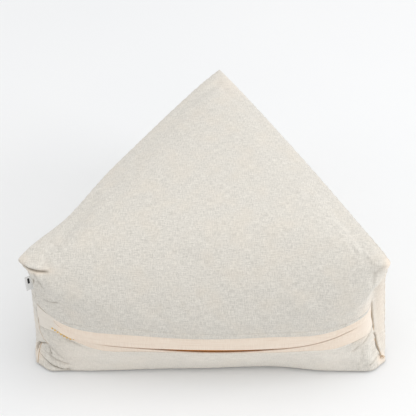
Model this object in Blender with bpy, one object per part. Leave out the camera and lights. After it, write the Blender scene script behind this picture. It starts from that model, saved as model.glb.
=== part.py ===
"""Triangular zafu: a firm filled cushion in a cover that closes with a lapped zip placket.

Metres, +Z up. The cushion lies on its base at z = 0 with the middle of its plan at the
origin. The placket faces -Y, and one corner, the apex, points to +Y. The top panel rolls
over into the front with no seam; seams run along the two rear top edges, down the three
corners and round the base.
"""

import math

import bpy
import numpy as np

# ---- driving dimensions of the cushion ----
SIDE = 0.420  # straight from one corner tip to the next
TIP_HEIGHTS = [0.168, 0.166, 0.164]  # the pointed upper corners: left, right, apex
CROWN = 0.022  # highest part of the top above the corner tips
FRONT_RISE = 0.017  # the part of the crown that reaches the rolled front edge
CROWN_AT = 0.30  # where the crown is highest, from the front edge (0) to the apex (1)
SEAM_RISE = 0.004  # how far the rear top seams rise between their ends
ROLL_RADIUS = 0.100  # the soft turn from the top into the front, at the middle
FRONT_BELLY = 0.50  # share of the height at which the front stands out most
BASE_LIFT = 0.0025  # the base seam stands this far off the floor
BASE_CURL = 0.10  # share of the plan over which the base curls up to its seam
BASE_HOLLOW = 0.03  # the flat of the base is drawn in by this share of what the rim stands out
SLANT = 1.1  # the front slopes back at its corner seams, so a depth takes this much more there

# ---- the placket and the label ----
BAND_THICKNESS = 0.0016  # a hem of folded cotton
CHAIN_THICKNESS = 0.0012
CLEARANCE = 0.0010  # between one piece and the next
CHANNEL_DEPTH = 0.0032  # sunk into the front, so that the bands lie nearly flush
LAP_STAND = 0.0008  # how far the lap's free edge stands out at the middle
LAP_FREE = 0.30  # share of the lap, from its free edge, that lies over the chain
LAP_BEDDED = 0.70  # from here up to its sewn edge it lies in the channel
CHAIN_COVER = 0.0015  # how far the chain reaches up behind the lap
CHAIN_SPAN = (0.085, 0.915)  # shares of the front between which the zip runs
LABEL_HEIGHT = 0.020  # along the corner seam
LABEL_REACH = 0.010  # out from the seam
LABEL_THICKNESS = 0.0012  # a folded woven tape
LABEL_FOOT = 0.117  # its lower edge, above the floor
LABEL_DROOP = 0.003
LABEL_HEADING = math.radians(188.0)  # the way it points, from +X towards +Y

# ---- mesh density ----
COLUMNS = 36  # along each side
PACKING = 0.62  # 0 spaces the columns evenly, nearer 1 gathers them at the corners
WELD = 1e-6

DEPTH = SIDE * math.sqrt(3) / 2
CORNERS = [
    np.array([-SIDE / 2, -DEPTH / 3]),
    np.array([SIDE / 2, -DEPTH / 3]),
    np.array([0.0, 2 * DEPTH / 3]),
]
LEFT_CORNER, RIGHT_CORNER, APEX = 0, 1, 2
FRONT, RIGHT, LEFT = 0, 1, 2

# One row for each upright panel: the corners it joins, how far its belly stands out at half
# height, how slowly that belly fills out from the corners, how far the top edge stands out
# at the middle, and how far along the panel the pull of a corner seam is felt.
PANELS = [
    {"from": LEFT_CORNER, "to": RIGHT_CORNER, "belly": 0.000, "slow": 0.5, "top": 0.037, "reach": 0.020},
    {"from": RIGHT_CORNER, "to": APEX, "belly": 0.023, "slow": 0.5, "top": 0.002, "reach": 0.014},
    {"from": APEX, "to": LEFT_CORNER, "belly": 0.021, "slow": 1.0, "top": 0.001, "reach": 0.014},
]

# The tables below have rows of (share along the panel, value).

# A low fullness rounds the belly up to the seams, a high one keeps it to the middle.
FULLNESS = {
    RIGHT: [(0.0, 0.40), (0.22, 1.30), (1.0, 1.30)],
    LEFT: [(0.0, 1.30), (0.80, 1.30), (1.0, 0.60)],
}

# How far each base seam stands out: the front bulges most beside its corners.
BASE_STAND = {
    FRONT: [
        (0.0, 0.0), (0.06, 0.0150), (0.15, 0.0200), (0.42, 0.0148),
        (0.68, 0.0096), (0.83, 0.0160), (0.955, 0.0163), (1.0, 0.0),
    ],
    RIGHT: [(0.0, 0.0), (0.04, 0.0060), (0.88, 0.0080), (1.0, 0.0)],
    LEFT: [(0.0, 0.0), (0.12, 0.0080), (0.88, 0.0080), (0.96, 0.0130), (1.0, 0.0)],
}

# How far each top edge wanders outwards from its even curve.
TOP_WANDER = {
    FRONT: [(0.0, 0.0), (1.0, 0.0)],
    RIGHT: [(0.0, 0.0), (1.0, 0.0)],
    LEFT: [(0.0, 0.0), (0.12, 0.0015), (0.55, 0.0), (0.80, -0.0060), (0.95, 0.0018), (1.0, 0.0)],
}

# How far each corner seam is drawn in, by share of the height.
CORNER_DRAW = {
    LEFT_CORNER: [
        (0.0, 0.0), (0.06, 0.0050), (0.2, 0.0095), (0.5, 0.0105), (0.72, 0.0115), (0.9, 0.0075), (1.0, 0.0),
    ],
    RIGHT_CORNER: [
        (0.0, 0.0), (0.03, 0.0060), (0.3, 0.0200), (0.5, 0.0240),
        (0.65, 0.0235), (0.88, 0.0080), (1.0, 0.0),
    ],
    APEX: [(0.0, 0.0), (0.10, 0.0060), (0.5, 0.0120), (0.78, 0.0120), (1.0, 0.0)],
}

# Heights of the placket's lines, and the gap under the lap's free edge. The gap shows as a
# dark line at the middle, and it opens again over the first teeth of the zip.
BAND_HEAD = [
    (0.0, 0.102), (0.05, 0.097), (0.11, 0.087), (0.22, 0.089),
    (0.50, 0.0842), (0.68, 0.0852), (0.84, 0.085), (0.93, 0.094), (1.0, 0.102),
]
SLIT = [
    (0.0, 0.080), (0.07, 0.076), (0.13, 0.0645), (0.20, 0.0605), (0.32, 0.0597),
    (0.50, 0.0588), (0.64, 0.0595), (0.76, 0.0613), (0.84, 0.0662), (0.93, 0.0795), (1.0, 0.086),
]
BAND_FOOT = [
    (0.0, 0.060), (0.05, 0.066), (0.09, 0.0645), (0.14, 0.0550), (0.19, 0.0470),
    (0.32, 0.0486), (0.50, 0.0497), (0.78, 0.0478), (0.84, 0.0476), (0.93, 0.0565), (1.0, 0.060),
]
SLIT_GAP = [
    (0.0, 0.0026), (0.06, 0.0026), (0.09, 0.0046), (0.12, 0.0042), (0.15, 0.0028),
    (0.24, 0.0028), (0.50, 0.0066), (0.78, 0.0028), (1.0, 0.0026),
]

# Rows of the upright panels, as shares of the height. The channel's rows follow BAND_FOOT
# and BAND_HEAD along the front.
CHANNEL_LOW = BAND_FOOT[0][1] / TIP_HEIGHTS[LEFT_CORNER]
CHANNEL_HIGH = BAND_HEAD[0][1] / TIP_HEIGHTS[LEFT_CORNER]
CHANNEL_WALL = 0.03  # share of the channel taken by each sloping wall
CHANNEL = [0.0, CHANNEL_WALL, 0.28, 0.52, 0.76, 1.0 - CHANNEL_WALL, 1.0]
ROWS_BELOW, ROWS_ABOVE = 9, 10
ROWS = [CHANNEL_LOW * count / ROWS_BELOW for count in range(ROWS_BELOW)]
ROWS += [CHANNEL_LOW + share * (CHANNEL_HIGH - CHANNEL_LOW) for share in CHANNEL]
ROWS += [1.0 - (1.0 - CHANNEL_HIGH) * count / ROWS_ABOVE for count in reversed(range(ROWS_ABOVE))]

# Folds of the front panel near its corners, from (x0, z0) to (x1, z1). A negative depth is
# a ridge. They fade at their own ends, at the panel's rims and beside the channel.
FOLD_START = 0.15  # a fold's ends are as shallow as a full span is at this share
FOLD_FADE = 12.0  # how fast the folds deepen away from a seam or from the channel
FOLDS = [
    {"x0": -0.205, "z0": 0.163, "x1": -0.176, "z1": 0.155, "deep": -0.0030, "wide": 0.006},
    {"x0": -0.203, "z0": 0.152, "x1": -0.182, "z1": 0.134, "deep": 0.0025, "wide": 0.005},
    {"x0": -0.193, "z0": 0.144, "x1": -0.180, "z1": 0.126, "deep": 0.0022, "wide": 0.004},
    {"x0": -0.197, "z0": 0.133, "x1": -0.189, "z1": 0.117, "deep": 0.0035, "wide": 0.005},
    {"x0": -0.189, "z0": 0.117, "x1": -0.164, "z1": 0.124, "deep": 0.0035, "wide": 0.005},
    {"x0": -0.196, "z0": 0.038, "x1": -0.187, "z1": 0.023, "deep": 0.0035, "wide": 0.005},
    {"x0": -0.205, "z0": 0.015, "x1": -0.174, "z1": 0.005, "deep": 0.0040, "wide": 0.005},
    {"x0": 0.203, "z0": 0.160, "x1": 0.190, "z1": 0.151, "deep": 0.0020, "wide": 0.006},
    {"x0": 0.196, "z0": 0.150, "x1": 0.175, "z1": 0.107, "deep": -0.0020, "wide": 0.008},
    {"x0": 0.190, "z0": 0.050, "x1": 0.177, "z1": 0.037, "deep": 0.0040, "wide": 0.005},
]


def full(share):
    """0 at both ends of a span, 1 at its middle."""
    return max(0.0, 4.0 * share * (1.0 - share))


def eased(rows, at):
    """The value at a place in a table of (place, value) rows, eased from row to row."""
    for (start, low), (end, high) in zip(rows, rows[1:]):
        if at <= end:
            t = (at - start) / (end - start)
            return low + (high - low) * t * t * (3.0 - 2.0 * t)
    return rows[-1][1]


def between(low, high, share):
    return low + (high - low) * share


def flowing(rows, at):
    """The value at a place in such a table, on one smooth curve through all its rows."""
    places, values = zip(*rows)
    slopes = np.gradient(values, places)
    index = min(max(int(np.searchsorted(places, at)), 1), len(rows) - 1)
    span = places[index] - places[index - 1]
    t = (at - places[index - 1]) / span
    flat = t * t * (3.0 - 2.0 * t)
    leaving = t * (1.0 - t) ** 2 * span * slopes[index - 1]
    arriving = t * t * (1.0 - t) * span * slopes[index]
    return between(values[index - 1], values[index], flat) + leaving - arriving


def packed(share):
    """Moves evenly spaced shares towards both ends."""
    return share - PACKING * math.sin(2.0 * math.pi * share) / (2.0 * math.pi)


def outward(panel):
    along = CORNERS[PANELS[panel]["to"]] - CORNERS[PANELS[panel]["from"]]
    return np.array([along[1], -along[0]]) / SIDE


def top_stand(panel, share):
    """How far a panel's top edge stands out from the straight line between its corners."""
    return PANELS[panel]["top"] * math.sqrt(full(share)) + eased(TOP_WANDER[panel], share)


def base_stand(panel, share):
    return eased(BASE_STAND[panel], share)


def top_felt(inwards):
    """How much of a top edge's push is felt at a share of the way in from it."""
    return (1.0 - inwards) ** 3


def base_felt(inwards):
    """The same for the base. Its flat keeps a triangle's shape with slightly hollow sides, so
    that the cushion rests on three places far apart."""
    curled = min(1.0, inwards / BASE_CURL)
    return (1.0 - curled) ** 2 - BASE_HOLLOW * curled


def spread(weights, stand, felt):
    """A place in the plan from its three corner weights, pushed out as the edges stand."""
    place = sum(weight * corner for weight, corner in zip(weights, CORNERS))
    for panel, row in enumerate(PANELS):
        start, end = weights[row["from"]], weights[row["to"]]
        if start + end > 0.0:
            push = stand(panel, end / (start + end)) * felt(1.0 - start - end)
            place = place + push * outward(panel)
    return place


def tip_height(weights):
    return sum(weight * height for weight, height in zip(weights, TIP_HEIGHTS))


def front_edge(share):
    """The front top edge before it is rolled: its y and its height."""
    y = CORNERS[LEFT_CORNER][1] - top_stand(FRONT, share)
    return y, tip_height([1.0 - share, share, 0.0]) + FRONT_RISE * full(share) ** 0.6


def roll(share, past):
    """The shift (dy, dz) that rounds the front edge. past is the distance beyond the edge,
    negative on the top panel and positive down the front."""
    radius = ROLL_RADIUS * full(share) ** 0.7
    if abs(past) >= radius:
        return 0.0, 0.0
    angle = math.radians(45.0) * (1.0 + past / radius)
    dy = radius * (1.0 - math.sin(angle)) + min(past, 0.0)
    dz = radius * (math.cos(angle) - 1.0) + max(past, 0.0)
    return dy, dz


def crown(weights):
    """Height of the top above the corner tips."""
    left, right, rear = weights
    if left + right <= 0.0:
        return 0.0
    across = full(right / (left + right)) ** 0.6
    if rear < CROWN_AT:
        ridge = eased([(0.0, FRONT_RISE), (CROWN_AT, CROWN)], rear)
    else:
        ridge = CROWN * (1.0 - ((rear - CROWN_AT) / (1.0 - CROWN_AT)) ** 2) ** 0.8
    return ridge * across + SEAM_RISE * full(rear) * (1.0 - across)


def top_point(weights):
    x, y = spread(weights, top_stand, top_felt)
    z = tip_height(weights) + crown(weights)
    left, right, _ = weights
    if left + right > 0.0:
        share = right / (left + right)
        edge_y, _ = front_edge(share)
        dy, dz = roll(share, edge_y - y)
        y, z = y + dy, z + dz
    return np.array([x, y, z])


def base_point(weights):
    x, y = spread(weights, base_stand, base_felt)
    inside = min(1.0, min(weights) / BASE_CURL)
    return np.array([x, y, BASE_LIFT * (1.0 - inside) ** 2])


def row_height(panel, share, row):
    """Height of a row before the roll. The rows of all panels meet at the corners."""
    ends = [0.0, 0.0, 0.0]
    ends[PANELS[panel]["from"]] = 1.0 - share
    ends[PANELS[panel]["to"]] = share
    if panel == FRONT:
        heights = [BASE_LIFT, flowing(BAND_FOOT, share), flowing(BAND_HEAD, share), front_edge(share)[1]]
    else:
        top = tip_height(ends) + SEAM_RISE * full(share)
        heights = [BASE_LIFT, BAND_FOOT[0][1], BAND_HEAD[0][1], top]
    return float(np.interp(row, [0.0, CHANNEL_LOW, CHANNEL_HIGH, 1.0], heights))


def stand_out(panel, share, row):
    """How far an upright panel stands out from the straight line between its corners."""
    base, top = base_stand(panel, share), top_stand(panel, share)
    if panel == FRONT:
        return between(base, top, math.sin(math.radians(90.0) * min(1.0, row / FRONT_BELLY)))
    swell = full(row) ** eased(FULLNESS[panel], share)
    return between(base, top, row) + PANELS[panel]["belly"] * full(share) ** PANELS[panel]["slow"] * swell


def corner_pull(panel, share, row):
    """The shift in plan from the two corner seams that a panel runs between."""
    shift = np.zeros(2)
    for corner, distance in ((PANELS[panel]["from"], share), (PANELS[panel]["to"], 1.0 - share)):
        inward = -CORNERS[corner] / np.linalg.norm(CORNERS[corner])
        felt = math.exp(-distance * SIDE / PANELS[panel]["reach"])
        shift = shift + inward * felt * eased(CORNER_DRAW[corner], row)
    return shift


def fold_depth(x, z):
    """How far the corner folds sink the front panel at (x, z)."""
    total = 0.0
    for fold in FOLDS:
        start = np.array([fold["x0"], fold["z0"]])
        line = np.array([fold["x1"], fold["z1"]]) - start
        along = min(1.0, max(0.0, float(np.dot(np.array([x, z]) - start, line) / np.dot(line, line))))
        nearest = start + along * line
        away = math.hypot(x - nearest[0], z - nearest[1]) / fold["wide"]
        strength = math.sqrt(full(between(FOLD_START, 1.0 - FOLD_START, along)))
        total += fold["deep"] * strength * math.exp(-away * away)
    return total


def panel_point(panel, share, row, sunk=0.0):
    """A point of an upright panel, sunk below its plain surface."""
    start, end = CORNERS[PANELS[panel]["from"]], CORNERS[PANELS[panel]["to"]]
    felt = math.exp(-min(share, 1.0 - share) * SIDE / PANELS[panel]["reach"])
    sunk = sunk * (1.0 + SLANT * felt)
    plan = between(start, end, share) + outward(panel) * (stand_out(panel, share, row) - sunk)
    plan = plan + corner_pull(panel, share, row)
    height = row_height(panel, share, row)
    if panel != FRONT:
        return np.array([plan[0], plan[1], height])
    dy, dz = roll(share, front_edge(share)[1] - height)
    from_channel = max(CHANNEL_LOW - row, row - CHANNEL_HIGH, 0.0)
    fade = min(1.0, FOLD_FADE * full(share), FOLD_FADE * from_channel)
    fold = fold_depth(plan[0], height) * fade * full(row) ** 0.3
    return np.array([plan[0], plan[1] + dy + fold, height + dz])


def column_shares():
    return [packed(column / COLUMNS) for column in range(COLUMNS + 1)]


def channel_depth(share, row):
    """The channel that the placket lies in. It stops one column short of the corners."""
    inside = (row - CHANNEL_LOW) / (CHANNEL_HIGH - CHANNEL_LOW)
    if inside <= 0.0 or inside >= 1.0 or share in (0.0, 1.0):
        return 0.0
    return CHANNEL_DEPTH


def wall_point(panel, share, row):
    """A point of an upright panel of the cushion, which meets its top and its base."""
    weights = [0.0, 0.0, 0.0]
    weights[PANELS[panel]["from"]] = 1.0 - share
    weights[PANELS[panel]["to"]] = share
    if row == ROWS[0]:
        return base_point(weights)
    if row == ROWS[-1]:
        return top_point(weights)
    return panel_point(panel, share, row, channel_depth(share, row) if panel == FRONT else 0.0)


def floor_limits(share):
    """The lowest and highest place on the channel's floor, with the clearance for a band."""
    low, high = flowing(BAND_FOOT, share), flowing(BAND_HEAD, share)
    wall = CHANNEL_WALL * (high - low) + CLEARANCE
    return low + wall, high - wall


def band_point(share, height, sunk):
    """A point at a height inside the channel, sunk below the front's plain surface."""
    low, high = flowing(BAND_FOOT, share), flowing(BAND_HEAD, share)
    row = between(CHANNEL_LOW, CHANNEL_HIGH, (height - low) / (high - low))
    return panel_point(FRONT, share, row, sunk)


def triangle_grid(make_point):
    """A three-cornered panel, from its corner weights."""
    points, faces, index = [], [], {}
    for a in range(COLUMNS + 1):
        for b in range(COLUMNS + 1 - a):
            shares = [packed(count / COLUMNS) for count in (COLUMNS - a - b, a, b)]
            index[a, b] = len(points)
            points.append(make_point([share / sum(shares) for share in shares]))
    for a in range(COLUMNS):
        for b in range(COLUMNS - a):
            faces.append([index[a, b], index[a + 1, b], index[a, b + 1]])
            if a + b < COLUMNS - 1:
                faces.append([index[a + 1, b], index[a + 1, b + 1], index[a, b + 1]])
    return points, faces


def strip_grid(make_point, columns, rows):
    """A four-cornered panel, seen from outside with its columns running to the right."""
    points = [make_point(column, row) for row in rows for column in columns]
    faces = []
    for low in range(0, len(points) - len(columns), len(columns)):
        for here in range(low, low + len(columns) - 1):
            above = here + len(columns)
            faces.append([here, here + 1, above + 1, above])
    return points, faces


def turned(faces):
    return [face[::-1] for face in faces]


def welded(points, faces):
    """Joins points that lie in one place, and drops the faces that this closes up."""
    keys, kept, renamed = {}, [], []
    for point in points:
        key = tuple(int(round(value / WELD)) for value in point)
        if key not in keys:
            keys[key] = len(kept)
            kept.append(point)
        renamed.append(keys[key])
    faces = [[renamed[index] for index in face] for face in faces]
    return kept, [face for face in faces if len(set(face)) == len(face)]


def joined(grids):
    points, faces = [], []
    for grid_points, grid_faces in grids:
        faces += [[index + len(points) for index in face] for face in grid_faces]
        points += grid_points
    return welded(points, faces)


def add_object(name, grid, look, parent):
    points, faces = grid
    mesh = bpy.data.meshes.new(name)
    mesh.from_pydata([tuple(point) for point in points], [], faces)
    mesh.materials.append(look)
    mesh.update()
    mesh.shade_smooth()
    obj = bpy.data.objects.new(name, mesh)
    bpy.context.scene.collection.objects.link(obj)
    obj.parent = parent
    return obj


def closed_sheet(make_point, columns, rows):
    """A closed sheet. make_point(column, row, side) gives its back (0) and its front (1)."""
    back, faces = strip_grid(lambda column, row: make_point(column, row, 0), columns, rows)
    front, _ = strip_grid(lambda column, row: make_point(column, row, 1), columns, rows)
    wide, count = len(columns), len(back)
    right = range(2 * wide - 1, count, wide)
    rim = list(range(wide)) + list(right)
    rim += list(range(count - 2, count - wide - 1, -1)) + list(range(count - 2 * wide, 0, -wide))
    sheet = turned(faces) + [[index + count for index in face] for face in faces]
    for here, following in zip(rim, rim[1:] + rim[:1]):
        sheet.append([here, following, following + count, here + count])
    return back + front, sheet


def make_cushion(look, parent):
    """The filled cover: top, base, front and the two rear panels."""
    top = triangle_grid(top_point)
    base_points, base_faces = triangle_grid(base_point)
    grids = [top, (base_points, turned(base_faces))]
    for panel in (FRONT, RIGHT, LEFT):
        grids.append(strip_grid(lambda share, row: wall_point(panel, share, row), column_shares(), ROWS))
    return add_object("cushion_body", joined(grids), look, parent)


def make_lap(look, parent):
    """The upper band. Its free lower edge stands out over the zip."""
    def place(share, step, side):
        foot = flowing(SLIT, share) + eased(SLIT_GAP, share) / 2
        height = between(foot, floor_limits(share)[1], step)
        over_chain = CLEARANCE / 2 - LAP_STAND * full(share) ** 2 * max(0.0, 1.0 - step / LAP_FREE)
        bedded = max(0.0, min(1.0, (step - LAP_FREE) / (LAP_BEDDED - LAP_FREE)))
        back = between(over_chain, CHANNEL_DEPTH - CLEARANCE, bedded)
        return band_point(share, height, back - side * BAND_THICKNESS)

    steps = [0.0, LAP_FREE / 2, LAP_FREE, (LAP_FREE + LAP_BEDDED) / 2, LAP_BEDDED, 0.85, 1.0]
    return add_object("zip_lap", closed_sheet(place, column_shares()[1:-1], steps), look, parent)


def make_underlap(look, parent):
    """The lower band, which lies flat in the channel."""
    def place(share, step, side):
        head = flowing(SLIT, share) - eased(SLIT_GAP, share) / 2
        height = between(floor_limits(share)[0], head, step)
        return band_point(share, height, CHANNEL_DEPTH - CLEARANCE - side * BAND_THICKNESS)

    steps = [0.0, 0.25, 0.5, 0.75, 1.0]
    return add_object("zip_underlap", closed_sheet(place, column_shares()[1:-1], steps), look, parent)


def make_chain(look, parent):
    """The zip's closed chain, in the gap and a little way up behind the lap."""
    def place(share, step, side):
        middle, gap = flowing(SLIT, share), eased(SLIT_GAP, share)
        height = between(middle - gap / 2 + CLEARANCE, middle + gap / 2 + CHAIN_COVER, step)
        return band_point(share, height, CHANNEL_DEPTH - CLEARANCE - side * CHAIN_THICKNESS)

    start, end = CHAIN_SPAN
    columns = [share for share in column_shares() if start < share < end]
    return add_object("zip_chain", closed_sheet(place, [start] + columns + [end], [0.0, 1.0]), look, parent)


def make_label(look, parent):
    """A folded tape sewn into the left corner seam, drooping a little."""
    heading = np.array([math.cos(LABEL_HEADING), math.sin(LABEL_HEADING)])
    across = np.array([-heading[1], heading[0]])
    left_height = TIP_HEIGHTS[LEFT_CORNER]

    def place(reach, up, side):
        height = LABEL_FOOT + LABEL_HEIGHT * up
        seam = panel_point(FRONT, 0.0, height / left_height)
        away = CLEARANCE + (1.0 - reach) * LABEL_REACH
        plan = seam[:2] + heading * away + across * (side - 0.5) * LABEL_THICKNESS
        return np.array([plan[0], plan[1], height - LABEL_DROOP * (1.0 - reach) ** 2])

    steps = [0.0, 0.25, 0.5, 0.75, 1.0]
    points, faces = closed_sheet(place, steps, steps)
    return add_object("side_label", (points, faces), look, parent)


def principled(name, color, roughness, metallic=0.0):
    look = bpy.data.materials.new(name)
    look.use_nodes = True
    shader = look.node_tree.nodes["Principled BSDF"]
    shader.inputs["Base Color"].default_value = (*color, 1.0)
    shader.inputs["Roughness"].default_value = roughness
    shader.inputs["Metallic"].default_value = metallic
    return look


def main():
    for obj in list(bpy.data.objects):
        bpy.data.objects.remove(obj)
    zafu = bpy.data.objects.new("zafu", None)
    bpy.context.scene.collection.objects.link(zafu)
    cotton = principled("unbleached_cotton", (0.80, 0.66, 0.52), 0.9)
    make_cushion(principled("linen_look_cloth", (0.69, 0.65, 0.57), 0.9), zafu)
    make_lap(cotton, zafu)
    make_underlap(cotton, zafu)
    make_chain(principled("brass", (0.62, 0.42, 0.14), 0.35, 1.0), zafu)
    make_label(principled("woven_label", (0.82, 0.81, 0.78), 0.85), zafu)


main()
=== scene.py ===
# %% [markdown]
# # A triangular zafu
# A zafu is a firm floor cushion for sitting meditation. This one has three corners. Its cover is
# a natural linen-look cloth with a lapped zip placket of unbleached cotton along the front, and
# the fill pushes every panel out between its seams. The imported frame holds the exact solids: a
# filled body, the two placket bands, the zip's chain and a label. This script dresses them.

import heapq
import math

import bmesh
import bpy
import numpy as np
from mathutils import Matrix, Vector
from mathutils.bvhtree import BVHTree
from mathutils.kdtree import KDTree


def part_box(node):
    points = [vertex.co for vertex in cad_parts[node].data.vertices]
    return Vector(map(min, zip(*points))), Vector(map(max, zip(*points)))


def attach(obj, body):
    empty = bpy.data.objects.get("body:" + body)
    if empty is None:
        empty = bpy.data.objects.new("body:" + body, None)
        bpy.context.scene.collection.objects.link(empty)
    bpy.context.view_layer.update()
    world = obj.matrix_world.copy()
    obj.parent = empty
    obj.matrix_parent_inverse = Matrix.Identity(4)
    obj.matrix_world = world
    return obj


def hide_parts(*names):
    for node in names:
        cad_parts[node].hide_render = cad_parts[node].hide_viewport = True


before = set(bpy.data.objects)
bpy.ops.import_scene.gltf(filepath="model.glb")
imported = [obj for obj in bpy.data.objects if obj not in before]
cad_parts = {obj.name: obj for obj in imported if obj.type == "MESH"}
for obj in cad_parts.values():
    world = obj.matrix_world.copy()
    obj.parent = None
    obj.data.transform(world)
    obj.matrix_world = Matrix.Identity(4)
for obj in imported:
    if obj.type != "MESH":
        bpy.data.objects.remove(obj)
scene = bpy.context.scene
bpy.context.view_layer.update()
body_low, body_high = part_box("cushion_body")
MM = 0.001
WIDTH, DEPTH, HEIGHT = body_high - body_low
print(f"cushion {WIDTH / MM:.0f} x {DEPTH / MM:.0f} x {HEIGHT / MM:.0f} mm")

# %% [markdown]
# ## Camera
# A cushion is best seen a little from above, so that its top and its placket both show. A long
# lens keeps the triangle's sides from converging too much. The camera's axes are built from an
# azimuth, an elevation and a small roll, because three plain angles are easier to tune than a
# rotation matrix.

# %% Camera
AZIMUTH, ELEVATION, ROLL = math.radians(5.31), math.radians(42.0), math.radians(-3.37)
DISTANCE = 1.86
LENS_MM, SENSOR_MM = 128.3, 36.0
AIM_SHIFT = Vector((-0.0073, 0.0219, -0.0140))  # from the middle of the body's box

aim = (body_low + body_high) / 2 + AIM_SHIFT
back = Vector((
    math.sin(AZIMUTH) * math.cos(ELEVATION),
    -math.cos(AZIMUTH) * math.cos(ELEVATION),
    math.sin(ELEVATION),
))
level = Vector((0, 0, 1)).cross(back).normalized()
upright = back.cross(level)
right = level * math.cos(ROLL) + upright * math.sin(ROLL)
up = upright * math.cos(ROLL) - level * math.sin(ROLL)
camera = bpy.data.objects.new("camera", bpy.data.cameras.new("camera"))
camera.matrix_world = Matrix((right, up, back)).transposed().to_4x4()
camera.location = aim + back * DISTANCE
camera.data.lens = LENS_MM
camera.data.sensor_width = SENSOR_MM
scene.collection.objects.link(camera)
scene.camera = camera
print("camera stands", round(DISTANCE, 2), "m from the cushion")

# %% [markdown]
# ## Floor and light
# A plain pale floor and four large soft lamps keep the cloth's own colour honest. The right side
# is stronger than the left, which is what gives the cushion its form. The sky fills the shadows,
# so a fold shows as a soft grey line and never as a black one.

# %% Floor and light
FLOOR_SIZE = 12.0
SKY_STRENGTH = 0.763
LAMPS = [
    # name, place, size in metres, watts
    ("overhead", (0.0, -0.2, 2.6), 2.0, 11.3),
    ("back_right", (1.3, 0.6, 2.3), 1.6, 6.4),
    ("right_side", (2.2, -0.3, 0.9), 1.4, 17.2),
    ("left_side", (-2.0, -0.4, 1.2), 1.6, 3.3),
]
scene.view_settings.view_transform = "Standard"


def link(name, data):
    """A new object of the scene."""
    obj = bpy.data.objects.new(name, data)
    scene.collection.objects.link(obj)
    return obj


def piece_of(name, places, faces):
    """An object made of places, and of faces that name their places by number."""
    data = bpy.data.meshes.new(name)
    data.from_pydata(places, [], faces)
    return link(name, data)


def lamp(name, place, size, watts):
    """A square lamp that shines at the cushion."""
    data = bpy.data.lights.new(name, "AREA")
    data.size, data.energy = size, watts
    obj = link(name, data)
    obj.location = place
    obj.rotation_euler = (Vector(place) - aim).to_track_quat("Z", "Y").to_euler()


half = FLOOR_SIZE / 2
floor_corners = [(-half, -half, 0), (half, -half, 0), (half, half, 0), (-half, half, 0)]
floor = piece_of("floor", floor_corners, [(0, 1, 2, 3)])
for row in LAMPS:
    lamp(*row)
sky = bpy.data.worlds.new("sky")
sky.use_nodes = True
background = sky.node_tree.nodes["Background"]
background.inputs["Color"].default_value = (1.0, 1.0, 1.0, 1.0)
background.inputs["Strength"].default_value = SKY_STRENGTH
scene.world = sky

# %% [markdown]
# ## Shader maths
# Weave patterns are formulas, and formulas are easier to read as Python than as a web of nodes.
# `Field` wraps one output socket. Adding or multiplying fields adds the Math nodes. `node` makes
# any other node from its type, its settings and the values or links of its sockets.

# %% Fields


def node(tree, kind, settings, values, output=0):
    """Adds a shader node: settings first, then its sockets by name or number. Returns a Field."""
    made = tree.nodes.new(kind)
    for name, setting in settings.items():
        setattr(made, name, setting)
    for key, value in values.items():
        if isinstance(value, Field):
            tree.links.new(value.socket, made.inputs[key])
        else:
            made.inputs[key].default_value = value
    return Field(tree, made.outputs[output])


class Field:
    """A number, colour or vector that varies over a surface."""

    def __init__(self, tree, socket):
        self.tree = tree
        self.socket = socket

    def maths(self, operation, *values):
        return node(self.tree, "ShaderNodeMath", {"operation": operation}, dict(enumerate(values)))

    def __add__(self, other):
        return self.maths("ADD", self, other)

    def __radd__(self, other):
        return self.maths("ADD", other, self)

    def __sub__(self, other):
        return self.maths("SUBTRACT", self, other)

    def __rsub__(self, other):
        return self.maths("SUBTRACT", other, self)

    def __mul__(self, other):
        return self.maths("MULTIPLY", self, other)

    def __rmul__(self, other):
        return self.maths("MULTIPLY", other, self)

    def sine(self):
        return self.maths("SINE", self)

    def size(self):
        return self.maths("ABSOLUTE", self)

    def within(self, low, high):
        """0 up to low, 1 from high, smooth between."""
        limits = {"Value": self, "From Min": low, "From Max": high}
        return node(self.tree, "ShaderNodeMapRange", {"interpolation_type": "SMOOTHSTEP"}, limits)


print("fields turn operators into Math nodes")

# %% Common nodes


def vector(x, y, z):
    return node(x.tree, "ShaderNodeCombineXYZ", {}, {"X": x, "Y": y, "Z": z})


def axis(place, number):
    """One number out of a vector: 0 for x, 1 for y, 2 for z."""
    return node(place.tree, "ShaderNodeSeparateXYZ", {}, {"Vector": place}, number)


def noise(place, scale, detail, roughness=0.5):
    values = {"Vector": place, "Scale": scale, "Detail": detail, "Roughness": roughness}
    return node(place.tree, "ShaderNodeTexNoise", {"noise_dimensions": "3D"}, values)


def mixed(factor, first, second):
    """A colour between two colours, each one a Field or its red, green and blue."""
    first, second = (color if isinstance(color, Field) else (*color, 1.0) for color in (first, second))
    settings = {"data_type": "RGBA", "blend_type": "MIX"}
    return node(factor.tree, "ShaderNodeMix", settings, {0: factor, 6: first, 7: second}, 2)


def attribute(tree, name):
    """A number that every point of the mesh carries."""
    settings = {"attribute_name": name, "attribute_type": "GEOMETRY"}
    return node(tree, "ShaderNodeAttribute", settings, {}, 2)


def object_place(tree):
    """The place in the object's own metres."""
    return node(tree, "ShaderNodeTexCoord", {}, {}, 3)


print("common nodes ready")

# %% Finishes


def new_finish(name, roughness, **constants):
    """An empty material. Constants are set on the shader's own sockets."""
    look = bpy.data.materials.new(name)
    look.use_nodes = True
    shader = look.node_tree.nodes["Principled BSDF"]
    shader.inputs["Roughness"].default_value = roughness
    for socket, value in constants.items():
        shader.inputs[socket.replace("_", " ")].default_value = value
    return look, look.node_tree, shader


def connect(field, socket):
    field.tree.links.new(field.socket, socket)


def bumped(shader, height, depth):
    """Feeds a height, in shares of depth metres, to the shader's normal."""
    values = {"Height": height, "Distance": depth, "Strength": 1.0}
    connect(node(height.tree, "ShaderNodeBump", {}, values), shader.inputs["Normal"])


print("finish helpers ready")

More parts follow.
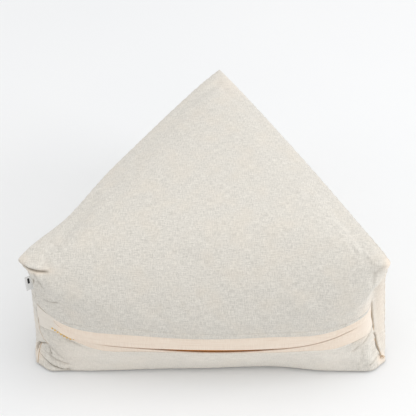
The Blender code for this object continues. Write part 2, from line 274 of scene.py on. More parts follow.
# %% [markdown]
# ## Linen-look cloth
# The cover is a plain weave of fine yarns. Each yarn has its own shade, darker and paler flecks
# run along it, and here and there it is thick, which makes the soft streaks of natural cloth.
# An image could hold all this, but it would blur close up. Here the pattern is a formula of two
# thread coordinates, in millimetres, that every panel carries in a UV map called "threads".

# %% Linen-look cloth
YARN_MM = 0.85  # from one yarn to the next
PEACH = (0.92, 0.79, 0.66)  # the peach of unbleached cotton, painted on the linen as warm light and bounce light
FLOOR_BOUNCE_LINEN = (0.93, 0.87, 0.785)  # painted bounce light of the floor on the lower front
PAINTED_SHADE_SHARE = 0.50  # painted shade: how dark the bottom of a groove or a deep fold gets
LINEN_RELIEF = 0.22 * MM


def thread_place(tree):
    """The two thread coordinates, in millimetres."""
    place = node(tree, "ShaderNodeUVMap", {"uv_map": "threads"}, {})
    return axis(place, 0), axis(place, 1)


def plain_weave(u, v, pitch):
    """Height of a plain weave: the two sets of yarns take turns on top."""
    across = (u * (math.pi / pitch)).sine()
    along = (v * (math.pi / pitch)).sine()
    return 0.5 + 0.5 * (across * along)


def streaks(u, v, width, length, seed):
    """Soft flecks that are width mm wide and length mm long, along v."""
    return noise(vector(u * (1.0 / width), v * (1.0 / length), seed), 1.0, 1.0)


def in_painted_shade(color):
    """A colour darkened by painted shade, as it is at the bottom of a groove."""
    return [share * PAINTED_SHADE_SHARE for share in color]


def linen(name, light, dark, warm):
    gloss = {"Sheen_Weight": 0.18, "Sheen_Roughness": 0.6, "Specular_IOR_Level": 0.25}
    look, tree, shader = new_finish(name, 0.92, **gloss)
    u, v = thread_place(tree)
    warp = streaks(u, v, 1.0, 7.0, 3.0)
    weft = streaks(v, u, 1.0, 9.0, 7.0)
    fleck = noise(vector(u, v, 1.7), 0.75, 3.0, 0.65)
    broad = noise(vector(u, v, 5.1), 0.035, 2.0)
    shade = (0.42 * warp + 0.42 * weft + 0.5 * fleck - 0.17).within(0.26, 0.74)
    cloth = mixed(shade, dark, light)
    clouded = mixed(broad.within(0.40, 0.75) * 0.25, cloth, warm)
    # Painted light: the pale attribute paints the floor's bounce light on the lower front.
    paler = mixed(attribute(tree, "pale"), clouded, FLOOR_BOUNCE_LINEN)
    # Painted light: the warm attribute paints warm light and bounce light near the corners and edges.
    flushed = mixed(attribute(tree, "warm"), paler, PEACH)
    # Painted shade: the groove attribute darkens the colour in seams and folds.
    wear_and_painted_shade = mixed(attribute(tree, "groove"), flushed, in_painted_shade(warm))
    connect(wear_and_painted_shade, shader.inputs["Base Color"])
    weave = plain_weave(u + 0.3 * warp, v + 0.3 * weft, YARN_MM)
    bumped(shader, 0.55 * weave + 0.5 * fleck + 0.4 * warp + 0.4 * weft, LINEN_RELIEF)
    return look


LINEN_LIGHT, LINEN_DARK, LINEN_WARM = (0.80, 0.765, 0.700), (0.56, 0.535, 0.485), (0.76, 0.68, 0.57)
linen_cloth = linen("linen_look_cloth", LINEN_LIGHT, LINEN_DARK, LINEN_WARM)
print("linen nodes:", len(linen_cloth.node_tree.nodes))

# %% [markdown]
# ## Unbleached cotton, brass, tape and thread
# The placket bands are a smoother cotton twill that keeps the peach tone of unbleached fibre.
# The zip's teeth are stamped brass, worn brighter here and there, on a tape painted dark brown
# for the shade inside the slit. The seam thread's brown is partly thread and partly painted seam
# shade. The label is a white woven tape, left plain but for a dark woven bar where a print would be.

# %% Cotton, brass, tape and thread
PALE_LINEN = (0.79, 0.745, 0.675)  # the bands fade to this at their ends, where linen backs them
TWILL_MM = 0.6  # from one rib of the twill to the next
BAND_RELIEF, BRASS_RELIEF = 0.12 * MM, 0.06 * MM


def cotton(name, light, dark):
    gloss = {"Sheen_Weight": 0.15, "Sheen_Roughness": 0.5, "Specular_IOR_Level": 0.25}
    look, tree, shader = new_finish(name, 0.85, **gloss)
    u, v = thread_place(tree)
    warp = streaks(u, v, 0.8, 12.0, 2.0)
    weft = streaks(v, u, 0.8, 30.0, 4.0)
    cloth = mixed((0.5 * warp + 0.5 * weft).within(0.25, 0.75), dark, light)
    faded = mixed(attribute(tree, "pale"), cloth, PALE_LINEN)
    # Painted shade: the groove attribute darkens the cotton along the line of stitches.
    wear_and_painted_shade = mixed(attribute(tree, "groove"), faded, in_painted_shade(dark))
    connect(wear_and_painted_shade, shader.inputs["Base Color"])
    twill = ((u + v) * (math.pi / TWILL_MM)).sine().size()
    bumped(shader, 0.6 * twill + 0.4 * warp + 0.4 * weft, BAND_RELIEF)
    return look


def brass(name, wear_and_painted_shade, bright):
    look, tree, shader = new_finish(name, 0.34, Metallic=1.0)
    cloud = noise(object_place(tree), 900.0, 3.0)
    connect(mixed(cloud.within(0.35, 0.65), wear_and_painted_shade, bright), shader.inputs["Base Color"])
    connect(0.26 + 0.25 * cloud, shader.inputs["Roughness"])
    bumped(shader, cloud, BRASS_RELIEF)
    return look


def tape(name, light, dark, rib_mm, bar=None):
    """Narrow woven tape with fine ribs across it, and a bar of another colour if one is given."""
    look, tree, shader = new_finish(name, 0.88, Sheen_Weight=0.1, Specular_IOR_Level=0.2)
    place = object_place(tree)
    ribs = (axis(place, 2) * (math.pi / (rib_mm * MM))).sine().size()
    cloud = noise(place, 1400.0, 2.0)
    color = mixed((0.5 * ribs + 0.5 * cloud).within(0.2, 0.8), dark, light)
    if bar:
        color = mixed(attribute(tree, "bar").within(0.4, 0.6), color, bar)
    connect(color, shader.inputs["Base Color"])
    bumped(shader, 0.6 * ribs + 0.4 * cloud, BAND_RELIEF)
    return look


cotton_cloth = cotton("unbleached_cotton", (0.94, 0.83, 0.71), (0.86, 0.72, 0.595))
brass_metal = brass("brass", (0.66, 0.40, 0.10), (0.96, 0.68, 0.25))
label_tape = tape("woven_label", (0.88, 0.88, 0.87), (0.70, 0.70, 0.69), 0.5, bar=(0.03, 0.03, 0.03))
# Painted shade: the tape's dark saturated brown stands for the shade inside the slit.
zip_tape_painted_shade = tape("zip_tape_painted_shade", (0.66, 0.25, 0.02), (0.46, 0.15, 0.01), 0.7)
# Partly real thread, partly painted seam shade: this brown also stands for the shade in the seams.
thread_and_seam_shade = tape("thread_and_seam_shade", (0.70, 0.53, 0.36), (0.46, 0.32, 0.20), 0.25)
print("finishes:", len(bpy.data.materials))

# %% [markdown]
# ## Floor finish
# The floor is painted board: nearly white, matt, with a slight unevenness of tone.

# %% Floor finish
floor_look, floor_tree, floor_shader = new_finish("pale_floor", 0.75, Specular_IOR_Level=0.2)
cloud = noise(object_place(floor_tree), 1.3, 2.0)
floor_tone = mixed(cloud.within(0.3, 0.7), (0.855, 0.865, 0.875), (0.88, 0.885, 0.89))
connect(floor_tone, floor_shader.inputs["Base Color"])
floor.data.materials.append(floor_look)
print("floor painted")

# %% [markdown]
# ## Tracing the seams
# Seams are where a maker thinks, so the script finds them before it shapes anything. The solid
# is a triangle mesh with no names on its edges. Its seams could be picked by hand, but a rule is
# safer: a seam is the cheapest path between two corner tips when sharp edges are cheap to walk.

# %% Copy the body and find its corner tips
WELD = 0.02 * MM  # points closer than this are one
LEFT, RIGHT, APEX = 0, 1, 2
CORNER_WAYS = [Vector(way).normalized() for way in ((-1, -0.577, 0), (1, -0.577, 0), (0, 1, 0))]


def copy_of(name, piece):
    """A welded bmesh of a CAD node."""
    mesh = bmesh.new()
    mesh.from_mesh(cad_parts[name].data)
    bmesh.ops.remove_doubles(mesh, verts=mesh.verts, dist=WELD)
    print(piece, "starts with", len(mesh.verts), "points")
    return mesh


def tips(points):
    """The point that reaches furthest towards each corner."""
    return [max(points, key=lambda vert: vert.co.dot(way)) for way in CORNER_WAYS]


cover_mesh = copy_of("cushion_body", "cover")
top_tips = tips([vert for vert in cover_mesh.verts if vert.co.z > HEIGHT / 2])
foot_tips = tips([vert for vert in cover_mesh.verts if vert.co.z < HEIGHT * 0.05])
print("top tips at", [tuple(round(value, 3) for value in tip.co) for tip in top_tips])

# %% Walk along the sharp edges
SHARP = math.radians(55)
SEAMS = [(top_tips[corner], foot_tips[corner]) for corner in (LEFT, RIGHT, APEX)]
SEAMS += [(top_tips[side], top_tips[APEX]) for side in (LEFT, RIGHT)]
SEAMS += [(foot_tips[one], foot_tips[other]) for one, other in ((LEFT, RIGHT), (LEFT, APEX), (RIGHT, APEX))]


def seam_path(start, end):
    """Edges of the cheapest walk from one point to another. Sharp edges cost about a tenth."""
    best, came, queue = {start: 0.0}, {}, [(0.0, start.index, start)]
    while queue:
        cost, _, here = heapq.heappop(queue)
        if here is end:
            break
        if cost > best[here]:
            continue
        for edge in here.link_edges:
            angle = max(0.0, edge.calc_face_angle_signed(0.0))
            price = edge.calc_length() * (1.1 - min(1.0, angle / SHARP)) + 1e-5
            there = edge.other_vert(here)
            if cost + price < best.get(there, math.inf):
                best[there] = cost + price
                came[there] = (here, edge)
                heapq.heappush(queue, (cost + price, there.index, there))
    edges = []
    while end is not start:
        end, edge = came[end]
        edges.append(edge)
    return edges


for edge in cover_mesh.edges:
    edge.seam = False
for start, end in SEAMS:
    for edge in seam_path(start, end):
        edge.seam = True
print("seam edges:", sum(edge.seam for edge in cover_mesh.edges))

# %% [markdown]
# ## Panels
# With the seams marked, each panel is whatever can be reached without crossing one. The panel
# number goes on every face, so that later steps can find the seams again after the mesh is made
# finer, and lay the threads straight in each panel.

# %% Name the panels
MAIN_PANEL, RIGHT_PANEL, LEFT_PANEL, BASE_PANEL = 0, 1, 2, 3
PANEL_SEEDS = {
    MAIN_PANEL: Vector((0, 0, 1)),
    RIGHT_PANEL: Vector((0.866, 0.5, 0)),
    LEFT_PANEL: Vector((-0.866, 0.5, 0)),
    BASE_PANEL: Vector((0, 0, -1)),
}


def flood(first):
    """The faces that can be reached from one face without crossing a seam."""
    found, queue = {first}, [first]
    while queue:
        for edge in queue.pop().edges:
            if not edge.seam:
                for face in edge.link_faces:
                    if face not in found:
                        found.add(face)
                        queue.append(face)
    return found


panel_mark = cover_mesh.faces.layers.int.new("panel")
for panel, way in PANEL_SEEDS.items():
    seed = max(cover_mesh.faces, key=lambda face: face.calc_center_median().dot(way))
    faces = flood(seed)
    for face in faces:
        face[panel_mark] = panel
    print("panel", panel, "has", len(faces), "faces")

# %% [markdown]
# ## A finer mesh
# The solid's triangles are paired into quads, then subdivided once. Seam edges get a crease, so
# that they stay crisp while the panels between them turn round.

# %% Subdivide the cover
SEAM_CREASE = 0.8


def link_mesh(mesh, name):
    """Makes an object of a bmesh."""
    data = bpy.data.meshes.new(name)
    mesh.to_mesh(data)
    mesh.free()
    return link(name, data)


def applied(obj):
    """The object with its modifiers applied to a new mesh."""
    graph = bpy.context.evaluated_depsgraph_get()
    graph.update()
    shown = obj.evaluated_get(graph)
    data = bpy.data.meshes.new_from_object(shown, preserve_all_data_layers=True, depsgraph=graph)
    old = obj.data
    obj.modifiers.clear()
    obj.data = data
    bpy.data.meshes.remove(old)
    data.name = obj.name
    return obj


def subdivided(obj, levels):
    """The object with its faces cut into four, as many times as there are levels."""
    modifier = obj.modifiers.new("finer", "SUBSURF")
    modifier.levels = modifier.render_levels = levels
    return applied(obj)


crease = cover_mesh.edges.layers.float.new("crease_edge")
for edge in cover_mesh.edges:
    if edge.seam:
        edge[crease] = SEAM_CREASE
bmesh.ops.join_triangles(
    cover_mesh, faces=cover_mesh.faces, cmp_seam=True, angle_face_threshold=0.7, angle_shape_threshold=1.2
)
cover = subdivided(link_mesh(cover_mesh, "zafu_cover"), 1)
print("cover has", len(cover.data.vertices), "points and", len(cover.data.polygons), "faces")

# %% [markdown]
# ## Working with points
# Most of what follows moves points, so a few helpers read them into arrays and write them back.
# Arrays are quick, and they let one formula act on the whole cover at once.

# %% Helpers for points


def values_of(items, name, width=1, kind=np.int32):
    """One value of every item as an array, in rows where the value has a width."""
    found = np.empty(len(items) * width, kind)
    items.foreach_get(name, found)
    return found.reshape(-1, width) if width > 1 else found


def points_of(obj):
    return values_of(obj.data.vertices, "co", 3, np.float32).astype(float)


def normals_of(obj):
    return values_of(obj.data.vertex_normals, "vector", 3, np.float32).astype(float)


def move_to(obj, points):
    obj.data.vertices.foreach_set("co", points.astype(np.float32).ravel())
    obj.data.update()


def near(line, points, reach):
    """The points within reach of a line of places: their numbers, and for each the number of
    the nearest place and the distance to it."""
    tree = KDTree(len(line))
    for index, place in enumerate(line):
        tree.insert(place, index)
    tree.balance()
    inside = ((points > line.min(0) - reach) & (points < line.max(0) + reach)).all(1)
    close, nearest, away = [], [], []
    for index in np.where(inside)[0]:
        _, place, distance = tree.find(points[index])
        if distance < reach:
            close.append(index)
            nearest.append(place)
            away.append(distance)
    return np.array(close, int), np.array(nearest, int), np.array(away, float)


def surface_tree(obj):
    return BVHTree.FromPolygons(
        [vert.co.copy() for vert in obj.data.vertices], [tuple(face.vertices) for face in obj.data.polygons]
    )


def keep_value(obj, name, values):
    """Stores a number for every point, which a material can read."""
    mark = obj.data.attributes.new(name, "FLOAT", "POINT")
    mark.data.foreach_set("value", np.asarray(values, np.float32))


print("point helpers ready")

# %% Follow each seam from end to end


def seam_lines(obj):
    """The seams of a cover, as {the two panels it joins: its places in order}."""
    mesh = bmesh.new()
    mesh.from_mesh(obj.data)
    mark = mesh.faces.layers.int["panel"]
    joins = {}
    for edge in mesh.edges:
        pair = tuple(sorted({face[mark] for face in edge.link_faces}))
        if len(pair) == 2:
            for vert in edge.verts:
                joins.setdefault(pair, {}).setdefault(vert.index, []).append(edge.other_vert(vert).index)
    places = [tuple(vert.co) for vert in mesh.verts]
    mesh.free()
    lines = {}
    for pair, ways in joins.items():
        here = min(index for index, others in ways.items() if len(others) == 1)
        order, seen = [here], {here}
        while True:
            onward = [index for index in ways[order[-1]] if index not in seen]
            if not onward:
                break
            order.append(onward[0])
            seen.add(onward[0])
        lines[pair] = np.array([places[index] for index in order])
    return lines


seams = seam_lines(cover)

# %% [markdown]
# ## The fill pushes
# Inside the cover the fill presses on the cloth from behind, and the seams hold it back. That is
# a job for the cloth simulation: the cover starts a little too small, its seams, its base and
# the channel of the placket are pinned, and a pressure blows the panels between them tight. A
# cap on the move keeps the cushion at its measured size.

# %% Hold the seams, the base and the channel
PIN_NEAR, PIN_FAR = 5 * MM, 26 * MM  # pinned up to the first distance from a seam, free past the second
CHANNEL_FOOT, CHANNEL_HEAD = (0.040, 0.046), (0.104, 0.112)  # heights where the channel comes and goes
FRONT_Y = -0.10  # the front of the cushion lies beyond this
BASE_TOP = 2 * MM  # points lower than this belong to the base


def smooth(values, low, high):
    """0 up to low, 1 from high, smooth between."""
    share = np.clip((values - low) / (high - low), 0.0, 1.0)
    return share * share * (3 - 2 * share)


def held_points(obj, lines):
    """How firmly each point is held, from 0 to 1. The lines are the seams."""
    points = points_of(obj)
    away = np.full(len(points), PIN_FAR)
    for line in lines.values():
        close, _, distance = near(line, points, PIN_FAR)
        away[close] = np.minimum(away[close], distance)
    held = 1 - smooth(away, PIN_NEAR, PIN_FAR)
    x, y, z = points.T
    in_channel = smooth(z, *CHANNEL_FOOT) * (1 - smooth(z, *CHANNEL_HEAD)) * (y < FRONT_Y)
    return np.maximum(held, np.maximum(in_channel, z < BASE_TOP))


held = held_points(cover, seams)
print("points held firmly:", int((held > 0.99).sum()), "of", len(held))

# %% Blow the panels up
PRESSURE = 4.0
SIM_FRAMES = 20
START_INSET = 1.6 * MM  # how far the panels start inside their place
MOVE_CAP = 2.5 * MM  # the furthest that a point may end from its place
SLACK = 0.012  # how much longer the cloth is than the way it has to cross


def blown_up(obj, held):
    """Runs the cloth simulation on a closed cover and keeps its last shape."""
    home, ways = points_of(obj), normals_of(obj)
    move_to(obj, home - ways * (START_INSET * (1 - held))[:, None])
    group = obj.vertex_groups.new(name="held")
    for index in np.flatnonzero(held > 0.01):
        group.add([int(index)], float(held[index]), "REPLACE")
    cloth = obj.modifiers.new("fill", "CLOTH")
    cloth.point_cache.frame_start, cloth.point_cache.frame_end = 1, SIM_FRAMES
    cloth.collision_settings.use_collision = False
    settings = cloth.settings
    settings.vertex_group_mass = "held"
    settings.quality = 4
    settings.tension_stiffness = settings.compression_stiffness = 25.0
    settings.bending_stiffness = 1.5
    settings.shrink_min = -SLACK
    settings.use_pressure = True
    settings.uniform_pressure_force = PRESSURE
    settings.effector_weights.gravity = 0.0
    for number in range(1, SIM_FRAMES + 1):
        scene.frame_set(number)
    obj = applied(obj)
    scene.frame_set(1)
    obj.vertex_groups.clear()
    move = points_of(obj) - home
    far = np.linalg.norm(move, axis=1)
    print(f"the fill moved the cloth {np.median(far) / MM:.1f} mm, at most {far.max() / MM:.1f} mm")
    move *= np.minimum(1.0, MOVE_CAP / np.maximum(far, 1e-9))[:, None]
    move_to(obj, home + move)


blown_up(cover, held)

# %% [markdown]
# ## Finer still
# Folds need small faces. The cover is subdivided again, and its two front corners once more,
# because that is where the cloth gathers most.

# %% Cut the cover finer
CORNER_X, CORNER_Y = 0.166, -0.096  # the finely cut corners lie beyond these

cover = subdivided(cover, 1)
fine = bmesh.new()
fine.from_mesh(cover.data)
corner_edges = [
    edge for edge in fine.edges
    if all(abs(v.co.x) > CORNER_X and v.co.y < CORNER_Y and v.co.z > MM for v in edge.verts)
]
bmesh.ops.subdivide_edges(fine, edges=corner_edges, cuts=1, use_grid_fill=True, smooth=0.6)
fine.to_mesh(cover.data)
fine.free()
cover.data.update()
print("cover has", len(cover.data.vertices), "points and", len(cover.data.polygons), "faces")

# %% [markdown]
# ## Corners drawn out
# Two places of the sewn cover reach a little further than the plain solid: the tip of the left
# ear, and the flap at the foot of the left corner, which the weight of the fill pushes forward.
# Each pull moves the points round a centre and fades out with distance.

# %% Pull the corners
PULLS = [
    # centre x, y, z, reach x, y, z, move x, y, z in mm
    (-0.212, -0.121, 0.166, 0.014, 0.022, 0.011, -2.6, 0.0, 0.4),
    (-0.196, -0.124, 0.000, 0.030, 0.034, 0.0105, -1.0, -9.0, 0.0),
]


def nearness(points, row):
    """How near each point is to the centre of a table's row: 1 there, and less over its reach."""
    centre, reach = np.array(row[:3]), np.array(row[3:6])
    return np.exp(-(((points - centre) / reach) ** 2).sum(1))


points = points_of(cover)
move_to(cover, points + sum(np.outer(nearness(points, row), row[6:]) for row in PULLS) * MM)
print("corners pulled:", len(PULLS))

# %% [markdown]
# ## Folds
# Cloth under tension gathers where the seams pull it in, most of all at the two front corners.
# Each fold is given in the cushion's own sizes. Along its line the cloth dips in a
# trough, and beside it the cloth stands up in a ridge that leans over the trough. A simulation
# makes such folds too, but not these ones.

# %% Fold tables
# Seen from the front, a fold is a bowed line from (x0, z0) past (xm, zm) to (x1, z1). The ridge
# is on the left of the line's way. deep, ridge and wide are in millimetres, and lean is the
# share of the width by which the ridge leans over.
FRONT_FOLDS = [
    # x0, z0, xm, zm, x1, z1, deep, ridge, wide, lean
    (-0.2085, 0.1650, -0.194, 0.1610, -0.174, 0.1570, 3.6, 2.6, 2.6, 0.7),
    (-0.194, 0.160, -0.190, 0.148, -0.180, 0.133, 1.6, 1.2, 2.2, 0.4),
    (-0.191, 0.146, -0.187, 0.134, -0.174, 0.128, 2.2, 1.6, 1.9, 0.8),
    (-0.195, 0.148, -0.201, 0.104, -0.164, 0.122, 5.4, 2.8, 2.1, 1.2),
    (-0.203, 0.112, -0.192, 0.101, -0.172, 0.084, 3.4, 1.4, 1.8, 1.0),
    (-0.201, 0.088, -0.202, 0.052, -0.187, 0.037, 5.0, 2.2, 2.0, 1.2),
    (-0.195, 0.070, -0.193, 0.062, -0.186, 0.056, 1.4, 1.4, 1.5, 0.6),
    (-0.192, 0.047, -0.188, 0.036, -0.187, 0.020, 5.6, 2.0, 2.2, 1.0),
    (-0.187, 0.040, -0.184, 0.030, -0.176, 0.022, 1.7, 1.2, 1.4, 0.7),
    (-0.181, 0.034, -0.178, 0.026, -0.170, 0.018, 1.1, 0.9, 1.4, 0.5),
    (-0.210, 0.004, -0.205, 0.035, -0.187, 0.036, 3.4, 2.2, 2.0, 0.8),
    (-0.208, 0.017, -0.196, 0.011, -0.162, 0.004, 6.0, 2.6, 2.2, 1.3),
    (-0.200, 0.024, -0.186, 0.017, -0.160, 0.012, 2.0, 1.5, 1.9, 0.7),
    (-0.171, 0.060, -0.156, 0.055, -0.132, 0.052, 1.6, 0.0, 2.2, 0.2),
    (0.167, 0.036, 0.176, 0.050, 0.196, 0.058, 4.6, 2.0, 4.2, 0.5),
    (0.174, 0.047, 0.181, 0.053, 0.192, 0.062, 1.0, 0.9, 1.8, 0.3),
    (0.189, 0.104, 0.190, 0.070, 0.1945, 0.046, 2.6, 0.6, 1.8, 0.5),
    (0.1938, 0.046, 0.196, 0.030, 0.2045, 0.006, 3.0, 0.8, 1.8, 0.5),
    (0.198, 0.022, 0.194, 0.030, 0.196, 0.042, 1.6, 1.2, 2.2, 0.4),
    (0.186, 0.010, 0.196, 0.016, 0.204, 0.015, 1.8, 1.4, 2.2, 0.5),
    (0.188, 0.155, 0.194, 0.161, 0.203, 0.166, 1.0, 0.9, 3.2, 0.3),
]
# Seen from above, the same with y in place of z.
TOP_FOLDS = [
    (-0.050, -0.100, -0.063, -0.073, -0.075, -0.044, 0.30, 0.40, 1.6, 0.0),
    (0.056, 0.093, 0.038, 0.099, 0.020, 0.113, 0.8, 0.5, 2.6, 0.0),
    (-0.032, 0.087, -0.020, 0.090, -0.008, 0.094, 0.4, 0.6, 2.2, 0.0),
]
FOLD_ENDS = 0.22  # share of a fold's length over which it comes and goes
FOLD_SAMPLES = 80  # places along a fold
TROUGH = 0.65  # width of a fold's trough, in shares of wide
RIDGE_AWAY, RIDGE_WIDTH = 1.7, 1.1  # a ridge's distance from the line and its width, in the same shares
FOLD_REACH = 6  # how far a fold moves the cloth, in the same shares
FULL_SHADE = 4.0  # a fold this deep, in mm, is as dark as any
print("folds:", len(FRONT_FOLDS), "in front,", len(TOP_FOLDS), "on top")

# %% Press the folds in


def bow(first, middle, last, count):
    """Points of a curve that starts and ends at two places and bows towards a third."""
    t = np.linspace(0.0, 1.0, count)[:, None]
    return (1 - t) ** 2 * first + 2 * t * (1 - t) * middle + t ** 2 * last


def traced(tree, flat, eye, way):
    """Casts a flat curve onto a surface. Returns places and outward normals."""
    line, ways = [], []
    for first, second in flat:
        place, normal, _, _ = tree.ray_cast(eye(first, second), way)
        if place is not None:
            line.append(place)
            ways.append(normal if normal.dot(way) < 0 else -normal)
    return np.array(line), np.array(ways)


def unit(vectors):
    return vectors / (np.linalg.norm(vectors, axis=1)[:, None] + 1e-12)


def fold(obj, rows, eye, way):
    """Presses folds into a cover. Returns how much painted shade each point gets, from 0 to 1."""
    tree = surface_tree(obj)
    points, normals = points_of(obj), normals_of(obj)
    shift, dip = np.zeros_like(points), np.zeros(len(points))
    for row in rows:
        deep, ridge, wide, lean = row[6:]
        line, ways = traced(tree, bow(*np.reshape(row[:6], (3, 2)), FOLD_SAMPLES), eye, way)
        along = unit(np.gradient(line, axis=0))
        left = unit(np.cross(ways, along))
        width = wide * MM
        close, nearest, _ = near(line, points, FOLD_REACH * width)
        offset = points[close] - line[nearest]
        side = (offset * left[nearest]).sum(1) / width
        beyond = (offset * along[nearest]).sum(1) / width
        share = nearest / (len(line) - 1)
        strength = smooth(np.minimum(share, 1 - share), 0.0, FOLD_ENDS) * np.exp(-beyond ** 2)
        strength = strength * (normals[close] * ways[nearest]).sum(1).clip(0.0, 1.0)
        trough = np.exp(-(side / TROUGH) ** 2)
        rise = np.exp(-((side - RIDGE_AWAY) / RIDGE_WIDTH) ** 2)
        height = (ridge * rise - deep * trough) * MM * strength
        shift[close] += normals[close] * height[:, None]
        shift[close] -= left[nearest] * (lean * width * rise * strength)[:, None]
        dip[close] = np.maximum(dip[close], trough * strength * min(1.0, deep / FULL_SHADE))
    move_to(obj, points + shift)
    return dip


FROM_FRONT, FROM_ABOVE = Vector((0, 1, 0)), Vector((0, 0, -1))
front_dips = fold(cover, FRONT_FOLDS, lambda x, z: Vector((x, -1, z)), FROM_FRONT)
top_dips = fold(cover, TOP_FOLDS, lambda x, y: Vector((x, y, 1)), FROM_ABOVE)
print("deepest dip", round(float(max(front_dips.max(), top_dips.max())), 2))

# %% [markdown]
# ## Seam lines
# A seam under tension sinks a little, and the cloth beside it puckers between the stitches. The
# distance from the nearest seam is known for every point, so the groove and the puckers are one
# formula. The same distance, kept as an attribute, paints shade into the cloth's colour in the
# groove, and the folds add their own painted shade to it.

# %% Sink the seams
GROOVE_DEPTH, GROOVE_WIDTH = 0.8 * MM, 1.5 * MM
PUCKER_DEPTH, PUCKER_WIDTH, PUCKER_STEP = 0.4 * MM, 8.0 * MM, 9.0 * MM
SEAM_REACH = 20.0 * MM
FLOOR_FADE = 6 * MM  # grooves and puckers fade out from this height down to the floor
SEAM_SHADE, FOLD_SHADE = 0.55, 0.85  # how much painted shade darkens the cloth, from 0 to 1
SEAM_SHADE_WIDTH = 1.1 * MM


def spaced(line, step):
    """Places along a line, step apart, and their distances from its start."""
    along = np.concatenate([[0.0], np.cumsum(np.linalg.norm(np.diff(line, axis=0), axis=1))])
    at = np.linspace(0.0, along[-1], max(2, int(along[-1] / step) + 1))
    return np.stack([np.interp(at, along, values) for values in line.T], axis=1), at


seams = seam_lines(cover)
points, normals = points_of(cover), normals_of(cover)
seam_away = np.full(len(points), SEAM_REACH)
pucker_wave = np.zeros(len(points))
for line in seams.values():
    places, at = spaced(line, 1.0 * MM)
    close, nearest, away = near(places, points, SEAM_REACH)
    closer = away < seam_away[close]
    close, nearest, away = close[closer], nearest[closer], away[closer]
    seam_away[close] = away
    wave = at[nearest] * 2 * math.pi / PUCKER_STEP
    pucker_wave[close] = np.sin(wave + 1.7 * np.sin(0.31 * wave))
groove = np.exp(-(seam_away / GROOVE_WIDTH) ** 2)
pucker = pucker_wave * np.exp(-(seam_away / PUCKER_WIDTH) ** 2) * (1 - groove)
off_floor = np.clip(points[:, 2] / FLOOR_FADE, 0.0, 1.0)
move = (PUCKER_DEPTH * pucker - GROOVE_DEPTH * groove) * off_floor
move_to(cover, points + normals * move[:, None])
# Painted shade: the groove attribute darkens the cloth's colour along the seams and in the folds.
seam_shade = SEAM_SHADE * np.exp(-(seam_away / SEAM_SHADE_WIDTH) ** 2)
fold_shade = FOLD_SHADE * np.maximum(front_dips, 0.5 * top_dips)
keep_value(cover, "groove", np.maximum(seam_shade, fold_shade))
print("seam grooves sunk on", int((groove > 0.3).sum()), "points")

# %% [markdown]
# ## Where the linen is warmer or paler
# The linen-look cloth is painted with a peach cast near the front corners, at the tips, on the
# side panels and under the left ear: painted warm light, and bounce light between the cream
# cloths. Each such place is a soft spot with a centre and a reach on each axis. The spots are kept
# as a number on every point, which the cloth's colour reads. A second number paints the lower
# front paler, as the bounce light of the floor.

# %% Warm and pale places
# Spots of painted warm light and bounce light.
WARM_SPOTS = [
    # centre x, y, z, reach x, y, z, strength
    (0.183, -0.125, 0.082, 0.012, 0.020, 0.026, 0.85),
    (0.202, -0.108, 0.080, 0.011, 0.030, 0.070, 0.50),
    (0.208, -0.120, 0.164, 0.008, 0.012, 0.008, 0.75),
    (0.204, -0.121, 0.010, 0.007, 0.008, 0.009, 0.80),
    (-0.206, -0.108, 0.050, 0.010, 0.018, 0.022, 0.20),
    (-0.190, -0.128, 0.1585, 0.017, 0.014, 0.0035, 0.60),
    (-0.206, -0.118, 0.010, 0.008, 0.012, 0.010, 0.60),
    (-0.208, -0.121, 0.164, 0.010, 0.010, 0.008, 0.40),
    (-0.166, -0.140, 0.030, 0.024, 0.024, 0.026, 0.16),
    (0.020, 0.200, 0.170, 0.020, 0.030, 0.012, 0.25),
]
LOWER_PALE = 0.42  # how far the lower front goes towards the painted floor bounce
LOWER_TOP, LOWER_ENDS = (0.045, 0.056), (0.150, 0.185)  # over which that fades, upwards and to each side


def lower_pale(x):
    """How far the lower front is painted paler, as floor bounce light, at each x."""
    return LOWER_PALE * (1 - smooth(np.abs(x), *LOWER_ENDS))


points = points_of(cover)
warmth = np.max([row[6] * nearness(points, row) for row in WARM_SPOTS], axis=0)
keep_value(cover, "warm", warmth)
x, y, z = points.T
keep_value(cover, "pale", lower_pale(x) * (y < FRONT_Y) * (1 - smooth(z, *LOWER_TOP)))
print("warm points:", int((warmth > 0.2).sum()))

# %% [markdown]
# ## Straight threads in every panel
# The weave runs straight in each panel as it was cut. The main panel rolls from the top over
# into the front, so its second coordinate is the length along the cloth, measured round the
# bend. The other panels are nearly flat, and plain projections serve them.

# %% Thread coordinates
ROLL_RADIUS = 0.09
roll_y, roll_z = body_low.y + ROLL_RADIUS, HEIGHT - ROLL_RADIUS


def thread_coordinates(points, panels):
    """The two thread coordinates of points, each in its panel, in millimetres."""
    x, y, z = points.T
    behind, below = np.maximum(0.0, y - roll_y), np.maximum(0.0, roll_z - z)
    turn = np.arctan2(np.maximum(0.0, roll_y - y), np.maximum(1e-6, z - roll_z))
    turn = np.where(z <= roll_z, math.pi / 2, turn)
    found = np.stack([x, behind - below - ROLL_RADIUS * turn], axis=1)
    for panel, way in ((RIGHT_PANEL, (-0.5, 0.866)), (LEFT_PANEL, (-0.5, -0.866))):
        chosen = panels == panel
        found[chosen] = np.stack([x * way[0] + y * way[1], z], axis=1)[chosen]
    chosen = panels == BASE_PANEL
    found[chosen] = np.stack([x, y], axis=1)[chosen]
    return found / MM


def lay_threads(obj, panels=None):
    """Gives a mesh its "threads" UV map."""
    data = obj.data
    for layer in list(data.uv_layers):
        data.uv_layers.remove(layer)
    corners = values_of(data.loops, "vertex_index")
    counts = values_of(data.polygons, "loop_total")
    if panels is None:
        panels = np.full(len(counts), MAIN_PANEL)
    places = thread_coordinates(points_of(obj)[corners], np.repeat(panels, counts))
    layer = data.uv_layers.new(name="threads")
    layer.data.foreach_set("uv", places.astype(np.float32).ravel())


